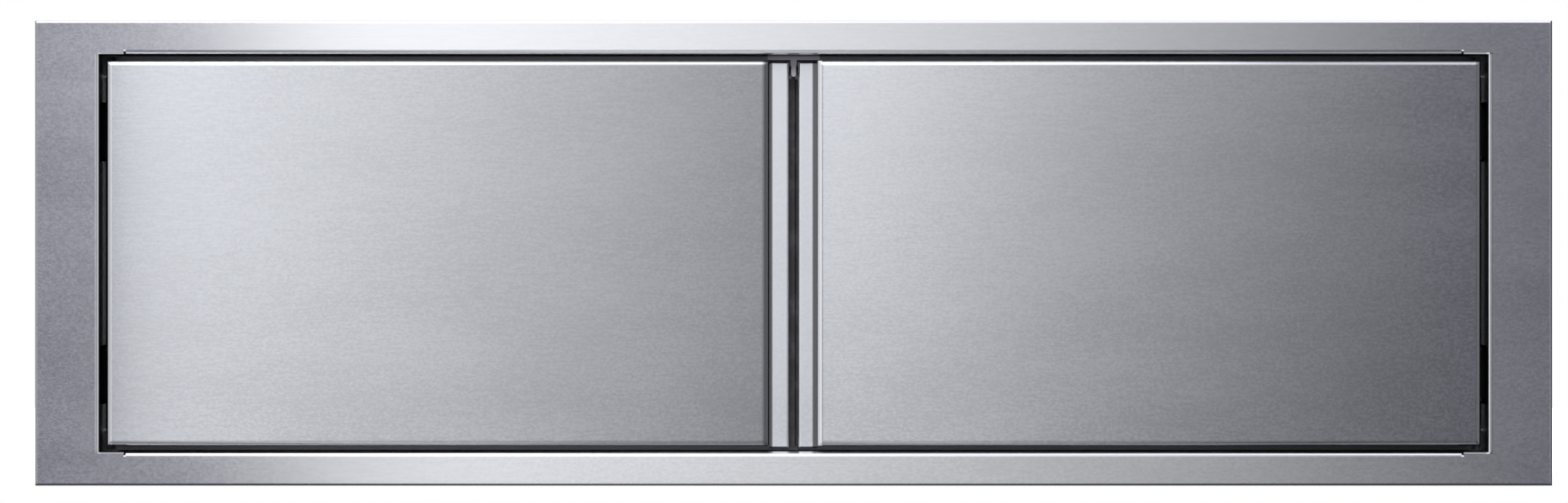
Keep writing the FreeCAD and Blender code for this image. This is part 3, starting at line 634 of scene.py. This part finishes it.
def brushed_steel(name, base, steel, contrast, relief=None, marks=None):
    """Sheet brushed along X: fine lines, long streaks and faint clouds.

    relief is a function that gives the sheet's height in metres, and marks is one that lays weld tint,
    painted highlights and painted shade over its colour.
    """
    material, board, place = new_finish(name)
    pitch = 1.0 / steel.grain_pitch
    run = 1.0 / steel.grain_length
    lines = noise(board, place, (run, pitch, pitch))
    streaks = noise(board, place, (run / STREAK_LINES, pitch, pitch))
    clouds = noise(board, place, CLOUDS, detail=3.0)
    tone = lines * TONE_SHARES[0] + streaks * TONE_SHARES[1] + clouds * TONE_SHARES[2]
    hue = mottled(board, between(board, tone, *TONE_RANGE), base, 1.0 - contrast, 1.0 + contrast)
    rough = varied(varied(steel.roughness, lines, LINE_ROUGHNESS), clouds, CLOUD_ROUGHNESS)
    metal = 1.0
    if marks:
        # Weld tint on liners; painted highlights and painted shade elsewhere
        hue, polish_and_highlight = marks(board, place, hue, steel)
        rough = rough + polish_and_highlight * (steel.edge_roughness - steel.roughness)
        metal = 1.0 - polish_and_highlight * POLISH_AND_HIGHLIGHT_LOSS
    depth = steel.grain_depth * contrast / steel.door_grain
    grain = lines * HEIGHT_SHARES[0] + streaks * HEIGHT_SHARES[1]
    bump = {"Strength": 1.0, "Distance": depth, "Height": grain}
    if relief:
        bump["Normal"] = bumped(board, relief(board, place), depth=1.0, strength=1.0)
    normal = board.add("Bump", {}, bump)
    finish_with(board, {"Base Color": hue, "Metallic": metal, "Roughness": rough, "Normal": normal,
                        "Anisotropic": steel.anisotropy, "Anisotropic Rotation": GRAIN_TURN})
    return material


def plain_steel(name, base, roughness):
    """Turned or stamped steel with a fine satin."""
    material, board, place = new_finish(name)
    fine = noise(board, place, SATIN)
    blotch = noise(board, place, STEEL_BLOTCH, detail=3.0)
    hue = mottled(board, between(board, blotch, *BLOTCH_RANGE), base, dark=0.88, light=1.06)
    finish_with(board, {"Base Color": hue, "Metallic": 1.0,
                        "Roughness": varied(roughness, blotch, swing=0.2),
                        "Normal": bumped(board, fine, SATIN_HEIGHT, SATIN_STRENGTH)})
    return material


def strike_steel(name, base, roughness, low, high):
    """Dull grey steel, painted lighter and made smoother towards the tongue's tip, which stands out of the
    shade.
    """
    material, board, place = new_finish(name)
    fine = noise(board, place, STRIKE_SATIN)
    height = varied(coordinates(board, place)[2], fine, swing=MM)
    # Painted light on the tongue's lower half, which hangs out of the shade under the header
    rub = between(board, height, low.z, (low.z + high.z) / 2, 1.0, 0.0)
    hue = mottled(board, rub, base, light=1.9)
    finish_with(board, {"Base Color": hue, "Metallic": 1.0, "Roughness": roughness - rub * TIP_SMOOTHING,
                        "Normal": bumped(board, fine, SATIN_HEIGHT, SATIN_STRENGTH)})
    return material


def black_coat(name, base, roughness):
    """Satin powder coat with its orange peel and a little rub on it."""
    material, board, place = new_finish(name)
    peel = noise(board, place, COAT_PEEL)
    rub = noise(board, place, COAT_RUB, detail=4.0, roughness=0.6)
    hue = mottled(board, between(board, rub, *RUB_RANGE), base, light=2.2)
    finish_with(board, {"Base Color": hue, "Roughness": varied(roughness, rub, swing=0.25),
                        "Specular IOR Level": 0.4,
                        "Normal": bumped(board, peel, PEEL_HEIGHT, SOFT_STRENGTH)})
    return material


def moulded_plastic(name, base, roughness):
    """Moulded plastic with a spark-eroded grain."""
    material, board, place = new_finish(name)
    grain = noise(board, place, MOULD_GRAIN)
    blotch = noise(board, place, MOULD_BLOTCH, detail=3.0)
    hue = mottled(board, blotch, base, dark=0.8, light=1.2)
    finish_with(board, {"Base Color": hue, "Roughness": varied(roughness, grain, swing=0.15),
                        "Normal": bumped(board, grain, MOULD_HEIGHT, SOFT_STRENGTH)})
    return material


def rubber_finish(name, base, roughness):
    """Extruded rubber with fine pores and a dusty bloom."""
    material, board, place = new_finish(name)
    bloom = noise(board, place, RUBBER_BLOOM, detail=4.0, roughness=0.6)
    pores = noise(board, place, RUBBER_PORES)
    hue = mottled(board, between(board, bloom, *BLOOM_RANGE), base, light=2.4)
    finish_with(board, {"Base Color": hue, "Roughness": varied(roughness, bloom, swing=0.2),
                        "Specular IOR Level": 0.35,
                        "Normal": bumped(board, pores, PORE_HEIGHT, SOFT_STRENGTH)})
    return material


def wear(node, material):
    """Give a CAD node its finish."""
    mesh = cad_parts[node].data
    mesh.materials.clear()
    mesh.materials.append(material)


def joined(name, meshes, material, body, slot, *nodes):
    """One piece from several bmeshes that rides on a body and stands for CAD nodes."""
    mesh = bpy.data.meshes.new(name)
    whole = bmesh.new()
    for part in meshes:
        part.to_mesh(mesh)
        part.free()
        whole.from_mesh(mesh)
    bmesh.ops.recalc_face_normals(whole, faces=whole.faces)
    whole.to_mesh(mesh)
    whole.free()
    mesh.set_sharp_from_angle(angle=SHARP_ANGLE)
    mesh.materials.append(material)
    piece = bpy.data.objects.new(name, mesh)
    bpy.context.scene.collection.objects.link(piece)
    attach(piece, body)
    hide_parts(*nodes)
    return piece


def skin_rings(rings, closed=True):
    """Bmesh skinned over rings of points; a closed skin ends in faces, an open one in its first ring."""
    skin = bmesh.new()
    loops = [[skin.verts.new(point) for point in ring] for ring in rings]
    count = len(rings[0])
    pairs = list(zip(loops, loops[1:]))
    if not closed:
        pairs.append((loops[-1], loops[0]))
    for lower, upper in pairs:
        for index in range(count):
            after = (index + 1) % count
            skin.faces.new((lower[index], lower[after], upper[after], upper[index]))
    if closed:
        skin.faces.new(reversed(loops[0]))
        skin.faces.new(loops[-1])
    for face in skin.faces:
        face.smooth = True
    return skin


def oval(centre, radii, count=24):
    """Points of an ellipse about a centre, in a flat section."""
    turns = [2 * math.pi * step / count for step in range(count)]
    return [(centre[0] + radii[0] * math.cos(turn), centre[1] + radii[1] * math.sin(turn))
            for turn in turns]


def along(axis, section, start, end):
    """Two rings of a section of (across, y) points, at both ends of a run along X or Z."""
    if axis == "X":
        return [[Vector((run, y, across)) for across, y in section] for run in (start, end)]
    return [[Vector((across, y, run)) for across, y in section] for run in (start, end)]


def solid_run(axis, section, start, end):
    """Bar of a section, closed at both ends."""
    return skin_rings(along(axis, section, start, end))


def hollow_run(axis, outside, inside, start, end):
    """Tube of a section with as many points inside as outside."""
    outer = along(axis, outside, start, end)
    inner = along(axis, inside, start, end)
    return skin_rings([outer[0], outer[1], inner[1], inner[0]], closed=False)


def gasket_run(axis, low, high, base, tip, start, end, seals):
    """Bulb gasket: a chamfered foot glued to the stop, and a hollow bulb towards the door."""
    foot_front = base - seals.foot
    middle = (low + high) / 2
    bulb_r = ((high - low) * BULB_WIDTH, (foot_front - tip) / 2 + seals.foot * BULB_SINK)
    bulb = (middle, tip + bulb_r[1])
    hollow_r = (bulb_r[0] - seals.wall, bulb_r[1] - seals.wall)
    chamfer = seals.foot * FOOT_CHAMFER
    foot = [(low, base), (high, base), (high, foot_front + chamfer), (high - chamfer, foot_front),
            (low + chamfer, foot_front), (low, foot_front + chamfer)]
    return [solid_run(axis, foot, start, end),
            hollow_run(axis, oval(bulb, bulb_r), oval(bulb, hollow_r), start, end)]


def gasket_stretches(side, low, high, clear):
    """Runs of a side gasket, which stops short of both hinge arms."""
    arm_low, arm_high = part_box(side + "_upper_hinge_arm")
    middle = (arm_low.z + arm_high.z) / 2
    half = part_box(side + "_hinge_backing_plates")[1].z - middle + clear
    return (low, -middle - half), (half - middle, middle - half), (middle + half, high)


def meeting_sections(root, sign, front, rear, row, seals):
    """Sections of a meeting seal: a base on the door's edge and a fin in one of two rows.

    The other door's fin lies in the other row, so that the two lap at the middle.
    """
    base_t = seals.fin * SEAL_BASE
    base = [(root, front), (root, rear), (root - sign * base_t, rear), (root - sign * base_t, front)]
    pitch = (rear - front) / 2
    y0 = front + row * pitch + (pitch - seals.fin) / 2
    tip = -sign * seals.fin_lap
    tip_r = seals.fin / 2
    fin = [(root, y0), (root, y0 + seals.fin), (tip + sign * tip_r, y0 + seals.fin),
           (tip, y0 + tip_r), (tip + sign * tip_r, y0)]
    return base, fin


def hexed(turn):
    """Distance of a hexagon's edge from its middle, for a hexagon of unit inside radius."""
    sector = math.pi / 3
    return 1 / math.cos((turn % sector) - sector / 2)


def screw(at, head_y, tip_y, head_r, head_h, shank_r, count=24):
    """Button-head screw along Y with a hexagon socket. head_y is the seat of the head."""
    outward = 1 if head_y > tip_y else -1
    socket_r = head_r * SOCKET_WIDTH
    profile = [(tip_y, shank_r * TIP_WIDTH, False),
               (tip_y + outward * shank_r * TIP_CHAMFER, shank_r, False),
               (head_y, shank_r, False), (head_y, head_r, False)]
    for step in range(1, HEAD_STEPS + 1):
        rise = math.radians(90 * step / HEAD_STEPS)
        profile.append((head_y + outward * head_h * (HEAD_RIM + (1 - HEAD_RIM) * math.sin(rise)),
                        head_r * (HEAD_CROWN + (1 - HEAD_CROWN) * math.cos(rise)), False))
    profile.append((head_y + outward * head_h, socket_r, True))
    profile.append((head_y + outward * head_h * SOCKET_FLOOR, socket_r * SOCKET_TAPER, True))
    rings = []
    for y, radius, socket in profile:
        ring = []
        for step in range(count):
            turn = 2 * math.pi * step / count
            reach = radius * hexed(turn) if socket else radius
            ring.append(Vector((at[0] + reach * math.cos(turn), y, at[1] + reach * math.sin(turn))))
        rings.append(ring)
    return skin_rings(rings)


def camera_and_mirror_rays(board):
    """Light Path tests: a ray from the camera, and a ray mirrored or let through by the object."""
    rays = board.add("LightPath").socket.node.outputs
    return Shade(rays["Is Camera Ray"]), Shade(rays["Is Glossy Ray"]) + Shade(rays["Is Transmission Ray"])


def studio_world(world):
    """White to the camera; to the door, a studio front with a bright bank left of the middle."""
    world.use_nodes = True
    board = Board(world.node_tree)
    heading = board.add("TexCoord", {}, {}, "Generated")
    east, back, up = coordinates(board, heading)
    bearing = east.math("ARCTAN2", east, 0.0 - back) * DEGREES
    rise = up.math("ARCSINE", up) * DEGREES
    span = BANK_TONES[-1][0] - BANK_TONES[0][0]
    stops = [((degrees - BANK_TONES[0][0]) / span, tone) for degrees, tone in BANK_TONES]
    bank = board.add("ValToRGB", {"stops": stops}, {"Fac": (bearing - BANK_TONES[0][0]) / span})
    overhead = between(board, rise, *OVERHEAD_RISE)
    front = between(board, rise, *FRONT_RISE) + between(board, rise, *LOW_RISE)
    aside = between(board, bearing.math("ABSOLUTE", bearing), *ASIDE_BEARING)
    front = front * (1.0 - aside) + aside * SIDE_SHARE
    level = bank * front * (1.0 - overhead) + overhead * OVERHEAD_TONE
    behind = between(board, back, *BEHIND_BACK)
    tone = level * (1.0 - behind) + behind * BEHIND_TONE
    ends = between(board, bearing, *LEFT_END) + between(board, bearing, *RIGHT_END)
    cool = tinted(board, ends * (1.0 - aside), WHITE, COOL_SHADE)
    hue = board.add("VectorMath", {"operation": "SCALE"}, {0: cool, "Scale": tone})
    lit = board.add("Background", {}, {"Color": hue, "Strength": STUDIO_STRENGTH})
    white = board.add("Background", {}, {"Color": WHITE, "Strength": 1.0})
    seen, shown = camera_and_mirror_rays(board)
    mixed = board.add("MixShader", {}, {0: seen + shown * behind, 1: lit, 2: white})
    board.add("OutputWorld", {}, {"Surface": mixed})


def floor_finish(studio):
    """Matt pale floor, lifted to white so that only the shadow shows on it."""
    material, board, place = new_finish("pale floor")
    mottle = noise(board, place, FLOOR_MOTTLE, detail=3.0)
    hue = mottled(board, mottle, studio.floor, dark=0.98, light=1.02)
    matt = board.add("BsdfPrincipled", {}, {"Base Color": hue, "Roughness": 0.9,
                                            "Specular IOR Level": 0.1})
    lift = board.add("Emission", {}, {"Color": WHITE, "Strength": studio.floor_lift})
    lifted = board.add("AddShader", {}, {0: matt, 1: lift})
    white = board.add("Emission", {}, {"Color": WHITE, "Strength": 1.0})
    seen, shown = camera_and_mirror_rays(board)
    mirrored = board.add("MixShader", {}, {0: shown, 1: matt, 2: white})
    mixed = board.add("MixShader", {}, {0: seen, 1: mirrored, 2: lifted})
    board.add("OutputMaterial", {}, {"Surface": mixed})
    return material


class ACCESSDOOR_OT_sheet(bpy.types.Operator):
    """Brush the frame, the jambs and the doors along their width, with painted highlights and shade"""
    bl_idname = "accessdoor.sheet"
    bl_label = "Brushed sheet"

    def execute(self, context):
        steel = context.scene.access_steel
        warp = functools.partial(twisted, turn=steel.twist)
        flange = brushed_steel("brushed flange", steel.flange, steel, steel.flange_grain,
                               warp, flange_painted_light)
        wear("face_frame", flange)
        inside = brushed_steel("brushed inside sheet", steel.inside, steel, steel.door_grain)
        dents = functools.partial(weld_dents, steel=steel)
        liner = brushed_steel("welded liner", steel.inside, steel, steel.door_grain, dents, liner_marks)
        # The jambs' dark sheet is painted shade towards the opening
        lining_painted_shade = brushed_steel("dark brushed lining", steel.lining_painted_shade, steel, steel.door_grain,
                               marks=jamb_painted_shade)
        side_lining_painted_shade = brushed_steel("dark brushed side lining", steel.side_lining_painted_shade, steel, steel.door_grain,
                                    marks=jamb_painted_shade)
        for node in ("top_jamb", "bottom_jamb"):
            wear(node, lining_painted_shade)
        strip = brushed_steel("brushed pull strip", steel.strip, steel, steel.flange_grain,
                              marks=strip_painted_light)
        for side in SIDES:
            low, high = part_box(side + "_door_skin")
            edges = sorted((low.x, high.x), key=abs)
            dish = Dish(edges[1], edges[0], getattr(steel, side + "_lean"), steel.dish,
                        getattr(steel, side + "_bow"), low.z, high.z, getattr(steel, side + "_droop"))
            bowed = functools.partial(dished, dish=dish)
            wear(side + "_door_skin", brushed_steel(side + " brushed door", steel.door, steel,
                                                    steel.door_grain, bowed, DOOR_PAINTED_LIGHT[side]))
            wear(side + "_jamb", side_lining_painted_shade)
            wear(side + "_pull_channel", strip)
            wear(side + "_door_liner", liner)
            wear(side + "_door_stiffener", inside)
        return {"FINISHED"}


class ACCESSDOOR_OT_hardware(bpy.types.Operator):
    """Finish the hinges, the catches and the strike"""
    bl_idname = "accessdoor.hardware"
    bl_label = "Hinges, catches and strike"

    def execute(self, context):
        hardware = context.scene.access_hardware
        coat = black_coat("satin black coat", hardware.coat, hardware.coat_roughness)
        plastic = moulded_plastic("black moulded plastic", hardware.plastic, hardware.plastic_roughness)
        nylon = moulded_plastic("white nylon", hardware.nylon, hardware.nylon_roughness)
        bright = plain_steel("bright steel", hardware.bright, hardware.bright_roughness)
        strike = strike_steel("strike steel", hardware.strike, hardware.strike_roughness,
                              *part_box("centre_strike"))
        wear("centre_strike", strike)
        for side in SIDES:
            wear(side + "_hinge_covers", plastic)
            wear(side + "_catch_magnet", plastic)
            wear(side + "_hinge_sleeves", nylon)
            wear(side + "_hinge_backing_plates", bright)
            wear(side + "_keeper_plate", bright)
            for level in LEVELS:
                wear(f"{side}_{level}_hinge_arm", coat)
                wear(f"{side}_{level}_hinge_bracket", coat)
                wear(f"{side}_{level}_hinge_pin", bright)
        return {"FINISHED"}


class ACCESSDOOR_OT_screws(bpy.types.Operator):
    """Make the socket screws of the hinge arms and the catches"""
    bl_idname = "accessdoor.screws"
    bl_label = "Screws"

    def execute(self, context):
        hardware = context.scene.access_hardware
        material = plain_steel("screw steel", hardware.bright, hardware.screw_roughness)
        for side in SIDES:
            node = side + "_hinge_screws"
            low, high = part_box(node)
            reach = hardware.screw_head
            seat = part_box(side + "_upper_hinge_arm")[1].y
            columns = (low.x + reach, high.x - reach)
            rows = (low.z + reach, high.z - reach)
            screws = [screw((x, z), seat, low.y, reach, high.y - seat, hardware.screw_shank)
                      for x in columns for z in rows]
            joined(side + "_socket_screws", screws, material, side + "_door", "plain_steel", node)
        low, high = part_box("catch_screws")
        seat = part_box("top_jamb")[1].y - hardware.stop_sheet
        reach = hardware.catch_head
        middle_z = (low.z + high.z) / 2
        screws = []
        for side in SIDES:
            case_low, case_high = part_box(side + "_catch_magnet")
            centre = (case_low.x + case_high.x) / 2
            half = high.x - reach - abs(centre)
            for x in (centre - half, centre + half):
                screws.append(screw((x, middle_z), seat, high.y, reach, seat - low.y,
                                    hardware.catch_shank))
        joined("catch_socket_screws", screws, material, "frame", "plain_steel", "catch_screws")
        return {"FINISHED"}


class ACCESSDOOR_OT_gaskets(bpy.types.Operator):
    """Make the bulb gaskets on the door stop"""
    bl_idname = "accessdoor.gaskets"
    bl_label = "Gaskets"

    def execute(self, context):
        seals = context.scene.access_seals
        material = rubber_finish("gasket rubber", seals.rubber, seals.roughness)
        for end in ("top", "bottom"):
            low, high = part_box(end + "_gasket")
            runs = gasket_run("X", low.z, high.z, high.y, low.y, low.x, high.x, seals)
            joined(end + "_bulb_gasket", runs, material, "frame", "black_rubber", end + "_gasket")
        for side in SIDES:
            low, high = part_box(side + "_gasket")
            runs = []
            for start, stop in gasket_stretches(side, low.z, high.z, seals.arm_clear):
                runs += gasket_run("Z", low.x, high.x, high.y, low.y, start, stop, seals)
            joined(side + "_bulb_gasket", runs, material, "frame", "black_rubber", side + "_gasket")
        return {"FINISHED"}


class ACCESSDOOR_OT_meeting_seals(bpy.types.Operator):
    """Make the finned seals that close the gap between the doors"""
    bl_idname = "accessdoor.meeting_seals"
    bl_label = "Meeting seals"

    def execute(self, context):
        seals = context.scene.access_seals
        material = rubber_finish("meeting rubber", seals.rubber, seals.roughness)
        for side, row in zip(SIDES, (0, 1)):
            low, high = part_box(side + "_meeting_seal")
            sign = 1 if side == "right" else -1
            root = sign * max(abs(low.x), abs(high.x))
            runs = [solid_run("Z", fin, low.z, high.z)
                    for fin in meeting_sections(root, sign, low.y, high.y, row, seals)]
            joined(side + "_finned_seal", runs, material, side + "_door", "black_rubber",
                   side + "_meeting_seal")
        return {"FINISHED"}


class ACCESSDOOR_OT_studio(bpy.types.Operator):
    """Set up the camera, the pale floor and the soft light"""
    bl_idname = "accessdoor.studio"
    bl_label = "Studio"

    def execute(self, context):
        scene = context.scene
        studio = scene.access_studio
        low, high = CAD_BOX
        scene.world = bpy.data.worlds.new("studio")
        studio_world(scene.world)
        scene.view_settings.view_transform = "Standard"

        lens = bpy.data.cameras.new("camera")
        lens.sensor_fit = "HORIZONTAL"
        lens.lens = lens.sensor_width * studio.distance / studio.view_width
        camera = bpy.data.objects.new("camera", lens)
        camera.location = (-studio.aim_x, low.y - studio.distance, studio.aim_z)
        camera.rotation_euler = (math.radians(90), 0.0, 0.0)
        scene.collection.objects.link(camera)
        scene.camera = camera

        floor_mesh = bpy.data.meshes.new("floor")
        left, right = low.x - studio.floor_side, high.x + studio.floor_side
        far = high.y + studio.floor_far
        corners = [(left, low.y, low.z), (right, low.y, low.z), (right, far, low.z), (left, far, low.z)]
        floor_mesh.from_pydata(corners, [], [(0, 1, 2, 3)])
        floor_mesh.materials.append(floor_finish(studio))
        floor = bpy.data.objects.new("floor", floor_mesh)
        scene.collection.objects.link(floor)

        lamp = bpy.data.lights.new("key", "AREA")
        lamp.energy = studio.key_power
        lamp.size = studio.key_size
        key = bpy.data.objects.new("key", lamp)
        key.location = KEY_PLACE
        key.rotation_euler = (-key.location).to_track_quat("-Z", "Y").to_euler()
        scene.collection.objects.link(key)
        return {"FINISHED"}


STEPS = (ACCESSDOOR_OT_sheet, ACCESSDOOR_OT_hardware, ACCESSDOOR_OT_screws, ACCESSDOOR_OT_gaskets,
         ACCESSDOOR_OT_meeting_seals, ACCESSDOOR_OT_studio)


class ACCESSDOOR_PT_steps(bpy.types.Panel):
    """Steps that finish the door"""
    bl_label = "Access door"
    bl_space_type = "VIEW_3D"
    bl_region_type = "UI"
    bl_category = "Access door"

    def draw(self, context):
        for step in STEPS:
            self.layout.operator(step.bl_idname)


SETTINGS = {"access_steel": SteelSettings, "access_hardware": HardwareSettings,
            "access_seals": SealSettings, "access_studio": StudioSettings}


def register():
    """Add the settings, the steps and their panel."""
    for name, group in SETTINGS.items():
        bpy.utils.register_class(group)
        setattr(bpy.types.Scene, name, bpy.props.PointerProperty(type=group))
    for step in STEPS:
        bpy.utils.register_class(step)
    bpy.utils.register_class(ACCESSDOOR_PT_steps)


def unregister():
    """Take the panel, the steps and the settings away."""
    bpy.utils.unregister_class(ACCESSDOOR_PT_steps)
    for step in reversed(STEPS):
        bpy.utils.unregister_class(step)
    for name, group in reversed(SETTINGS.items()):
        delattr(bpy.types.Scene, name)
        bpy.utils.unregister_class(group)


def main():
    """Run every step."""
    register()
    for step in STEPS:
        group, action = step.bl_idname.split(".")
        getattr(getattr(bpy.ops, group), action)()


if __name__ == "__main__":
    main()
